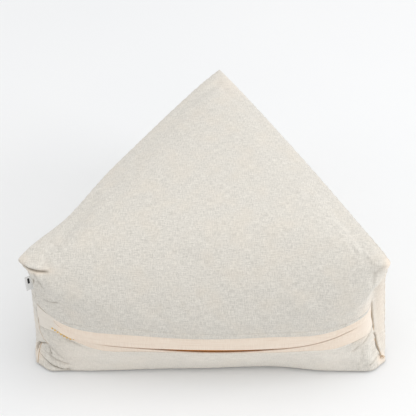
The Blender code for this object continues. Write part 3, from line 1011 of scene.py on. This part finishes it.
def dress(obj, look):
    """Gives a piece its finish and shades it smooth."""
    obj.data.materials.clear()
    obj.data.materials.append(look)
    obj.data.shade_smooth()


panels = values_of(cover.data.attributes["panel"].data, "value")
lay_threads(cover, panels)
dress(cover, linen_cloth)
print("faces in each panel:", np.bincount(panels).tolist())

# %% [markdown]
# ## The placket bands
# Two bands of cotton cover the zip. The upper one laps over it, and its free edge is a folded
# hem. Each solid band is a closed sheet already, so it is made finer with its rims kept crisp.
# Its two long rims are read first, because every later move is measured from them.

# %% Finer bands and their rims
RIM_ANGLE = math.radians(50)
RIM_SLOPE = 0.6  # a rim's faces point up or down at least this much
RIM_CREASE = 0.6


def rim_line(mesh, way):
    """The middle of a band's upper rim (way 1) or lower rim (way -1), from left to right."""
    rim = {vert for face in mesh.faces if face.normal.z * way > RIM_SLOPE for vert in face.verts}
    places = np.array(sorted(tuple(vert.co) for vert in rim))
    return (places[0::2] + places[1::2]) / 2


def finer_band(node_name, name):
    """A subdivided copy of a band, with its lower and upper rims."""
    mesh = copy_of(node_name, name)
    mesh.normal_update()
    rims = rim_line(mesh, -1), rim_line(mesh, 1)
    crease_mark = mesh.edges.layers.float.new("crease_edge")
    for edge in mesh.edges:
        if edge.calc_face_angle(0.0) > RIM_ANGLE:
            edge[crease_mark] = RIM_CREASE
    bmesh.ops.join_triangles(mesh, faces=mesh.faces, angle_face_threshold=0.9, angle_shape_threshold=1.5)
    return subdivided(link_mesh(mesh, name), 2), *rims


lap, lap_free, lap_sewn = finer_band("zip_lap", "placket_lap")
underlap, under_sewn, under_free = finer_band("zip_underlap", "placket_underlap")
print("rim stations:", len(lap_free), len(lap_sewn), len(under_sewn), len(under_free))

# %% [markdown]
# ## Sewing and pressing the bands
# A band's sewn edge lies flush with the linen, so it is moved out to the rim of the channel. The
# lap's free edge is a pressed hem, a little thicker, with a shallow line where it is stitched. At
# the left end the lap sags and the first teeth of the zip look out below it. Between there and
# the middle the two bands meet edge to edge, and from the middle to the right the slit opens.

# %% Measures of the sewn and the free edges
SEWN_SHARE = 0.30  # share of a band's width that is moved to meet the linen
SEWN_RISE, SEWN_TUCK = 0.4 * MM, 0.4 * MM  # how far that part moves out, and under the linen
HEM_RISE, HEM_WIDTH = 0.30 * MM, 2.4 * MM
STITCH_LINE, STITCH_WIDTH, STITCH_DEPTH = 6.5 * MM, 0.7 * MM, 0.06 * MM
STITCH_SHADE = 0.06
DROP_SHARE = 0.75  # a drop of the lap's free edge fades out over this share of its width
OPEN_LEFT = (-0.186, -0.172)  # the lap's sewn edge stays open as a crease left of here
# x, how far the lap's free edge drops and sinks, how far the underlap's free edge drops, all in mm
EDGE_MOVES = [
    (-0.200, 0.0, 0.0, 0.0),
    (-0.188, 0.6, 0.0, 0.4),
    (-0.179, 1.6, 0.1, 2.4),
    (-0.170, 4.0, 0.2, 3.7),
    (-0.160, 4.2, 0.4, 3.4),
    (-0.152, 2.6, 0.9, 0.6),
    (-0.140, 2.3, 1.1, 0.0),
    (-0.130, 0.9, 0.6, 0.0),
    (-0.112, -0.2, 0.0, 0.5),
    (-0.060, 0.0, 0.0, 0.8),
    (-0.010, 0.0, 0.0, 1.8),
    (0.045, 0.0, 0.0, 2.0),
    (0.090, -0.4, 0.0, 0.7),
    (0.119, -1.3, 0.0, -0.5),
    (0.142, -3.0, 0.0, -2.3),
    (0.160, -3.2, 0.0, -2.5),
    (0.173, -2.0, 0.0, -1.8),
    (0.180, -0.6, 0.3, -1.2),
    (0.200, 0.0, 0.3, 0.0),
]


def column(table, number, x):
    """A column of a table at each x, in metres where the table has millimetres."""
    rows = np.array(table)
    return np.interp(x, rows[:, 0], rows[:, number]) * MM


print("the lap drops by at most", max(row[1] for row in EDGE_MOVES), "mm")

# %% Sew and press
OUT, UP = np.array([0.0, -1.0, 0.0]), np.array([0.0, 0.0, 1.0])


def height_at(line, x):
    """The z of a line, such as a rim, at each x."""
    return np.interp(x, line[:, 0], line[:, 2])


def from_free(points, free, sewn):
    """Each point's place across a band, 0 at the free rim and 1 at the sewn one, and the
    distance from the free rim."""
    start, end = height_at(free, points[:, 0]), height_at(sewn, points[:, 0])
    return (points[:, 2] - start) / (end - start), np.abs(points[:, 2] - start)


def push(band, points, out, up):
    """Puts a band at points that are moved out from the cushion and up."""
    move_to(band, points + np.outer(out, OUT) + np.outer(up, UP))


def stitch_line(away):
    """1 on the line of stitches of a free edge and 0 away from it."""
    return np.exp(-((away - STITCH_LINE) / STITCH_WIDTH) ** 2)


def sew(band, free, sewn, way, fixed):
    """Moves a band's sewn edge out to the linen and on to its rim. way is 1 for upwards."""
    points = points_of(band)
    share, _ = from_free(points, free, sewn)
    moved = smooth(share, 1 - SEWN_SHARE, 1.0) * fixed(points[:, 0])
    push(band, points, moved * SEWN_RISE, moved * SEWN_TUCK * way)


def press_lap(band):
    """Folds the lap's hem, stitches it, and lets its free edge drop and sink."""
    points = points_of(band)
    share, away = from_free(points, lap_free, lap_sewn)
    x, near_free = points[:, 0], 1 - smooth(share, 0.0, DROP_SHARE)
    hem = HEM_RISE * np.exp(-(away / HEM_WIDTH) ** 2)
    drop, sink = column(EDGE_MOVES, 1, x) * near_free, column(EDGE_MOVES, 2, x) * near_free
    push(band, points, hem - STITCH_DEPTH * stitch_line(away) - sink, -drop)


def press_underlap(band):
    """Lets the underlap's free edge drop."""
    points = points_of(band)
    share, _ = from_free(points, under_free, under_sewn)
    drop = column(EDGE_MOVES, 3, points[:, 0]) * (1 - np.clip(share, 0, 1))
    push(band, points, np.zeros(len(points)), -drop)


sew(lap, lap_free, lap_sewn, 1, lambda x: smooth(x, *OPEN_LEFT))
sew(underlap, under_free, under_sewn, -1, np.ones_like)
press_lap(lap)
press_underlap(underlap)
print("bands sewn and pressed")

# %% [markdown]
# ## Dressing the bands
# Both bands fade towards the linen's own tone at their ends. A little unevenness along the free
# edge stops it from looking ruled, as a hem that was folded by hand never is.

# %% Dress the bands
PALE_LEFT, PALE_RIGHT = (-0.182, -0.166), (0.165, 0.195)
PALE_SHARES = 0.9, 0.45  # how pale the left end and the right end get
WAVE_UP, WAVE_OUT, WAVE_WIDTH = 0.35 * MM, 0.25 * MM, 8 * MM
BANDS = [
    # band, free rim, sewn rim, seed of its wave, whether it is stitched
    (lap, lap_free, lap_sewn, 1.0, 1),
    (underlap, under_free, under_sewn, 4.0, 0),
]


def pale_ends(x):
    """How far a band has faded at each x."""
    left, right = PALE_SHARES
    return np.maximum(left * (1 - smooth(x, *PALE_LEFT)), right * smooth(x, *PALE_RIGHT))


def waver(x, seed):
    """A slow, uneven wave of about 1, always the same for one seed."""
    return (np.sin(61 * x + seed) + np.sin(143 * x + 2.3 * seed) + 0.6 * np.sin(307 * x + 3.1 * seed)) / 2.6


for band, free, sewn, seed, stitched in BANDS:
    points = points_of(band)
    _, away = from_free(points, free, sewn)
    wave = waver(points[:, 0], seed) * np.exp(-away / WAVE_WIDTH)
    push(band, points, WAVE_OUT * wave, WAVE_UP * wave)
    keep_value(band, "pale", pale_ends(points[:, 0]))
    # Painted shade along the lap's line of stitches.
    keep_value(band, "groove", stitched * STITCH_SHADE * stitch_line(away))
    dress(band, cotton_cloth)
    lay_threads(band)
    print(band.name, len(band.data.polygons), "faces")

# %% [markdown]
# ## Turned edges
# The linen panels are sewn down on the bands with their edges turned under. The upper panel's
# edge covers more of the lap towards the left, so the lap shows the same width all along. Each
# edge is a strip of its own: it is laid on whatever is in front, cover or band, and dives into
# the cover behind its seam, so no gap shows between the two cloths.

# %% Measures of the turned edges
# x, how much of the lap is covered, in mm
UPPER_EDGE = [
    (-0.180, 0.2), (-0.156, 1.8), (-0.142, 4.6), (-0.125, 7.2), (-0.100, 7.0), (-0.070, 5.6),
    (0.000, 4.2), (0.080, 3.0), (0.121, 3.8), (0.150, 1.9), (0.172, 0.8), (0.192, 0.6),
]
# The same of the underlap.
LOWER_EDGE = [
    (-0.160, 0.4), (-0.110, 1.2), (-0.060, 1.6), (0.080, 1.6), (0.120, 2.2), (0.150, 0.6), (0.170, 0.3),
]
EDGE_STEP, EDGE_ROWS = 2.5 * MM, 12
EDGE_STAND, EDGE_THICK = 0.28 * MM, 0.5 * MM
EDGE_TURN = (-0.2 * MM, 1.2 * MM)  # over this way from its edge a strip rises to its full stand
# A strip runs this far past the seam, and from the second measure on it dives by the third.
EDGE_BEHIND, DIVE_START, EDGE_DIVE = 4.0 * MM, 1.6 * MM, 1.4 * MM
EDGE_FADE, EDGE_SUNK = 7.0 * MM, 0.8 * MM  # at each end a strip sinks into the cloth under it
EDGE_EASE = 3  # how many rows a strip stays in front for, past a step back from cover to band
print("turned edges are", EDGE_THICK / MM, "mm thick")

# %% Lay the turned edges


def front_y(trees, x, z):
    """The y of what is in front at a place seen from the front, or None."""
    hits = [tree.ray_cast(Vector((x, -1, z)), FROM_FRONT)[0] for tree in trees]
    return min((place.y for place in hits if place is not None), default=None)


def strip(name, places, wide):
    """A strip of cloth made of rows of places, wide places to a row."""
    firsts = range(0, len(places) - wide, wide)
    faces = [(a, a + wide, a + wide + 1, a + 1) for first in firsts for a in range(first, first + wide - 1)]
    return piece_of(name, places, faces)


def thickened(obj, thickness):
    """The object with half of a thickness on each side of its surface."""
    modifier = obj.modifiers.new("thick", "SOLIDIFY")
    modifier.thickness, modifier.offset = thickness, 0.0
    return applied(obj)


def turned_edge(name, band, rim, table, way):
    """A strip of linen over a band's sewn rim. way is 1 where the linen lies above the band."""
    trees = [cover_tree, surface_tree(band)]
    stations = np.arange(table[0][0], table[-1][0], EDGE_STEP)
    places = []
    for x in stations:
        covered, seam = float(column(table, 1, x)), float(height_at(rim, x))
        steps = np.linspace(-covered, EDGE_BEHIND, EDGE_ROWS)
        y = np.array([front_y(trees, x, seam + way * step) for step in steps])
        for _ in range(EDGE_EASE):
            y[1:-1] = np.minimum(y[1:-1], np.minimum(y[:-2], y[2:]))
        open_end = smooth(min(x - stations[0], stations[-1] - x), 0.0, EDGE_FADE)
        lifted = EDGE_STAND * smooth(steps + covered, *EDGE_TURN)
        dive = EDGE_DIVE * smooth(steps, DIVE_START, EDGE_BEHIND)
        stand = (lifted - dive) * open_end - EDGE_SUNK * (1 - open_end)
        places += [(x, front - rise, seam + way * step) for front, rise, step in zip(y, stand, steps)]
    edge = subdivided(thickened(strip(name, places, EDGE_ROWS), EDGE_THICK), 1)
    lay_threads(edge)
    dress(edge, linen_cloth)
    return edge


cover_tree = surface_tree(cover)
upper_edge = turned_edge("upper_turned_edge", lap, lap_sewn, UPPER_EDGE, 1)
lower_edge = turned_edge("lower_turned_edge", underlap, under_sewn, LOWER_EDGE, -1)
# The lower turned edge gets the same painted floor bounce as the lower front.
keep_value(lower_edge, "pale", lower_pale(points_of(lower_edge)[:, 0]))
print("turned edges:", len(upper_edge.data.polygons), "and", len(lower_edge.data.polygons), "faces")

# %% [markdown]
# ## The zip
# A metal zip is two tapes with stamped teeth that bite into each other. Only its first teeth and
# a dark line show, but the whole chain is made, because it could be looked at from below. The
# line of the chain is the middle of the slit. One tooth is a bevelled block, and a loop sets
# copies of it along the line, up and down in turn, as one joined mesh.

# %% The line of the zip
ZIP_START, ZIP_END = -0.1798, 0.172
TAPE_DEPTH = 1.35 * MM  # behind the middle of the bands
# x, how far the chain drops below the middle of the slit, how far it comes forward, and how deep
# the teeth lie behind the middle of the bands, in mm
ZIP_MOVES = [
    (-0.190, 1.4, 1.6, 0.7),
    (-0.179, 1.9, 1.9, 0.7),
    (-0.170, 3.5, 2.0, 0.7),
    (-0.160, 3.6, 2.0, 0.7),
    (-0.155, 1.2, 0.8, 0.7),
    (-0.146, 0.0, 0.0, 2.6),
    (0.200, 0.0, 0.0, 2.6),
]


def placket_y(x, z):
    """The y of the middle of the bands at a place of the placket."""
    rims = [under_sewn, under_free, lap_sewn]
    heights = [height_at(rim, x) for rim in rims]
    return np.interp(z, heights, [np.interp(x, rim[:, 0], rim[:, 1]) for rim in rims])


def zip_place(x, up, depth):
    """A place of the zip: up from its middle line and depth behind the bands."""
    middle = (height_at(lap_free, x) + height_at(under_free, x)) / 2
    z = middle - column(ZIP_MOVES, 1, x) + up
    return Vector((x, placket_y(x, z) + depth - column(ZIP_MOVES, 2, x), z))


print("zip runs", round((ZIP_END - ZIP_START) / MM), "mm")

# %% Teeth and tape
TOOTH_PITCH = 3.4 * MM
TOOTH_WIDE, TOOTH_TALL, TOOTH_THICK = 1.9 * MM, 3.0 * MM, 1.5 * MM
TOOTH_SHIFT = 1.1 * MM  # the two rows stand this far above and below the middle
TOOTH_NARROW, TOOTH_BEVEL = 0.72, 0.28 * MM  # a tooth's biting end is this share as wide
# x, how far the tape reaches up and down from its middle, in mm
TAPE_REACH = [(-0.182, 1.4), (-0.156, 1.8), (-0.140, 6.0), (0.160, 6.0), (0.173, 4.0)]
TAPE_THICK, TAPE_STEP, TAPE_ROWS = 0.3 * MM, 3 * MM, 9


def frame_at(x, depth):
    """A place of the zip, with the directions along it, up and out."""
    here = zip_place(x, 0.0, depth)
    along = (zip_place(x + MM, 0.0, depth) - zip_place(x - MM, 0.0, depth)).normalized()
    upward = along.cross(FROM_FRONT).normalized()
    return here, along, upward, along.cross(upward).normalized()


def make_teeth():
    """Both rows of teeth as one mesh."""
    teeth = bmesh.new()
    for index in range(int((ZIP_END - ZIP_START) / TOOTH_PITCH * 2)):
        x = ZIP_START + index * TOOTH_PITCH / 2
        here, along, upward, outward = frame_at(x, column(ZIP_MOVES, 3, x))
        side = 1 if index % 2 else -1
        for vert in bmesh.ops.create_cube(teeth, size=1.0)["verts"]:
            narrow = TOOTH_NARROW if vert.co.y * side < 0 else 1.0
            wide, thick = vert.co.x * TOOTH_WIDE * narrow, vert.co.z * TOOTH_THICK
            rise = vert.co.y * TOOTH_TALL + side * TOOTH_SHIFT
            vert.co = here + along * wide + upward * rise + outward * thick
    bmesh.ops.recalc_face_normals(teeth, faces=teeth.faces)
    rounding = {"offset": TOOTH_BEVEL, "offset_type": "OFFSET", "segments": 2, "profile": 0.6}
    bmesh.ops.bevel(teeth, geom=teeth.edges, affect="EDGES", **rounding)
    return link_mesh(teeth, "zip_teeth")


def make_tape():
    """The tape behind the teeth, dark brown as painted shade inside the slit. Over most of its length it
    lies in front of the teeth.
    """
    places = []
    for x in np.arange(ZIP_START, ZIP_END, TAPE_STEP):
        reach = column(TAPE_REACH, 1, x)
        places += [zip_place(x, reach * step, TAPE_DEPTH) for step in np.linspace(-1.0, 1.0, TAPE_ROWS)]
    return thickened(strip("zip_tape_painted_shade", places, TAPE_ROWS), TAPE_THICK)


zip_teeth, tape_piece = make_teeth(), make_tape()
dress(zip_teeth, brass_metal)
zip_teeth.data.set_sharp_from_angle(angle=math.radians(50))
dress(tape_piece, zip_tape_painted_shade)
print("teeth:", len(zip_teeth.data.polygons), "faces, tape:", len(tape_piece.data.polygons), "faces")

# %% [markdown]
# ## The side label
# The label is a short length of woven tape, folded double and caught in the corner seam. Its
# section is a narrow loop, so the loop is swept up the seam as one strip, which gets its
# thickness from Solidify. A plain dark bar stands where a print would be.

# %% Side label
label_low, label_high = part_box("side_label")
LABEL_REACH, LABEL_GAP, LABEL_THICK = 7.2 * MM, 1.3 * MM, 0.35 * MM
LABEL_HEADING = math.radians(188)
LABEL_DROOP, LABEL_CURL = 2.2 * MM, 1.0 * MM
LABEL_ROOT = 1.5 * MM  # it starts this far inside the seam
LABEL_PINCH, LABEL_FLARE = 0.35, 3 * MM  # share of its gap at the seam, and the way to the full gap
BEND_START = 0.3  # angle, in radians, at which the round end of the loop begins
LABEL_LIFT = 3 * MM  # its foot is this far above its solid's
BAR_REACH, BAR_SHARE = (1.6 * MM, 4.6 * MM), (0.52, 0.93)
LOOP_STEPS, BEND_STEPS, LABEL_ROWS = 14, 6, 34


def label_place(reach, side, share):
    """A place of the label: out from the seam, to one side, and up (0 to 1)."""
    heading = Vector((math.cos(LABEL_HEADING), math.sin(LABEL_HEADING), 0))
    across = Vector((-heading.y, heading.x, 0))
    far = reach / LABEL_REACH
    root = Vector((label_high.x, (label_low.y + label_high.y) / 2, label_low.z + LABEL_LIFT))
    lift = (label_high.z - root.z) * share - LABEL_DROOP * far ** 2
    curl = LABEL_CURL * far * math.sin(math.pi * share)
    return root + heading * reach + across * (side + curl) + Vector((0, 0, lift))


def make_label():
    """The folded label, a loop swept upwards."""
    half_gap = LABEL_GAP / 2
    loop = []
    for reach in np.linspace(-LABEL_ROOT, LABEL_REACH - half_gap, LOOP_STEPS):
        loop.append((reach, half_gap * min(1.0, LABEL_PINCH + reach / LABEL_FLARE)))
    bend = []
    for turn in np.linspace(BEND_START, math.pi - BEND_START, BEND_STEPS):
        bend.append((LABEL_REACH - half_gap + half_gap * math.sin(turn), half_gap * math.cos(turn)))
    outline = loop + bend + [(reach, -side) for reach, side in reversed(loop)]
    shares = np.linspace(0.0, 1.0, LABEL_ROWS)
    places = [label_place(reach, side, share) for share in shares for reach, side in outline]
    bar = [
        BAR_REACH[0] < reach < BAR_REACH[1] and BAR_SHARE[0] < share < BAR_SHARE[1]
        for share in shares for reach, _ in outline
    ]
    folded = strip("folded_label", places, len(outline))
    keep_value(folded, "bar", np.array(bar, float))
    return thickened(folded, LABEL_THICK)


label = make_label()
dress(label, label_tape)
print("label:", len(label.data.polygons), "faces")

# %% [markdown]
# ## Seam edges and thread ends
# Here and there a thin brown line shows: down both front corners, round the tuck at the foot of
# the left one, and at the head of the placket. It is partly the raw edge of a seam or its thread,
# and partly painted seam shade, the brownish shade in a seam between cream cloths. Each is a round
# brown thread laid on the cloth. It could be painted on, but a real thread has a height and
# catches the light. A small tuft of loose ends stands at the foot of the right corner.

# %% Where the threads run
FOOT_TUCK = [(-0.2070, 0.004), (-0.2058, 0.012), (-0.2030, 0.022), (-0.1985, 0.031), (-0.1935, 0.036)]
PLACKET_HEAD = [(-0.1775, 0.087), (-0.1735, 0.082), (-0.1690, 0.078)]
LEFT_SEAM = [(-0.1997, 0.080), (-0.2000, 0.066), (-0.1979, 0.056), (-0.1940, 0.047), (-0.1895, 0.0405)]
RIGHT_SEAM = [(0.1885, 0.086), (0.1905, 0.070), (0.1925, 0.058), (0.1938, 0.047)]
RIGHT_FOOT = [(0.1944, 0.038), (0.1965, 0.030), (0.1995, 0.022), (0.2035, 0.011)]
THREAD_LINES = [
    # points (x, z) seen from the front, how far the thread stands off the cloth, its radius, in mm
    (FOOT_TUCK, 0.2, 0.45),
    (PLACKET_HEAD, -0.02, 0.16),
    (LEFT_SEAM, -0.05, 0.24),
    (RIGHT_SEAM, 0.1, 0.38),
    (RIGHT_FOOT, 0.1, 0.34),
]
THREAD_STEPS = 12  # places laid for each point of a line
# dx, dy, dz of each loose end from the foot of the right seam, in mm
TUFT = [
    (3.2, -3.0, -1.5), (4.6, -1.8, -0.6), (1.0, -4.0, -2.0),
    (2.4, -3.4, 1.2), (-1.6, -3.6, -1.4), (3.0, -1.6, -3.2),
]
TUFT_RADIUS, TUFT_ARCH = 0.3, Vector((0, 0, 0.8))  # in mm
print("thread lines:", len(THREAD_LINES), "and", len(TUFT), "loose ends")

# %% Lay the threads


def tube(name, lines, radii):
    """Round threads along lines of places, as one mesh. Radii are in mm."""
    curve = bpy.data.curves.new(name, "CURVE")
    curve.dimensions = "3D"
    curve.bevel_depth = MM
    curve.bevel_resolution = 2
    curve.use_fill_caps = True
    for line, radius in zip(lines, radii):
        spline = curve.splines.new("POLY")
        spline.points.add(len(line) - 1)
        for point, place in zip(spline.points, line):
            point.co, point.radius = (*place, 1.0), radius
    drawn = link(name + "_line", curve)
    graph = bpy.context.evaluated_depsgraph_get()
    graph.update()
    data = bpy.data.meshes.new_from_object(drawn.evaluated_get(graph))
    bpy.data.objects.remove(drawn)
    return link(name, data)


def laid(trees, line, stand):
    """A thread's line, cast onto what is in front."""
    flat, places = np.array(line), []
    for step in np.linspace(0, len(flat) - 1, THREAD_STEPS * len(flat)):
        x, z = (np.interp(step, range(len(flat)), values) for values in flat.T)
        y = front_y(trees, x, z)
        if y is not None:
            places.append(Vector((x, y - stand * MM, z)))
    return places


trees = [cover_tree, surface_tree(lap), surface_tree(upper_edge)]
lines = [laid(trees, points, stand) for points, stand, _ in THREAD_LINES]
foot = lines[-1][-1]
tuft = []
for way in TUFT:
    end = foot + Vector(way) * MM
    tuft.append([foot, foot.lerp(end, 0.5) + TUFT_ARCH * MM, end])
thread = tube("seam_thread_and_shade", lines, [radius for *_, radius in THREAD_LINES])
ends = tube("thread_ends", tuft, [TUFT_RADIUS] * len(TUFT))
for piece in (thread, ends):
    dress(piece, thread_and_seam_shade)
print("threads:", len(thread.data.polygons) + len(ends.data.polygons), "faces")

# %% [markdown]
# ## Hand over
# Every piece rides on the one body, and those that stand for a solid say which, so that the
# solid itself is hidden.

# %% Hand over
PIECES = [
    # piece, the solid it stands for, its finish
    (cover, "cushion_body", "linen_look_cloth"),
    (lap, "zip_lap", "unbleached_cotton"),
    (underlap, "zip_underlap", "unbleached_cotton"),
    (upper_edge, None, "linen_look_cloth"),
    (lower_edge, None, "linen_look_cloth"),
    (zip_teeth, "zip_chain", "brass"),
    (tape_piece, "zip_chain", "unbleached_cotton"),
    (label, "side_label", "woven_label"),
    (thread, None, "unbleached_cotton"),
    (ends, None, "unbleached_cotton"),
]
for piece, node_name, slot in PIECES:
    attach(piece, "root")
    if node_name:
        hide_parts(node_name)
print("handed over", len(PIECES), "pieces")
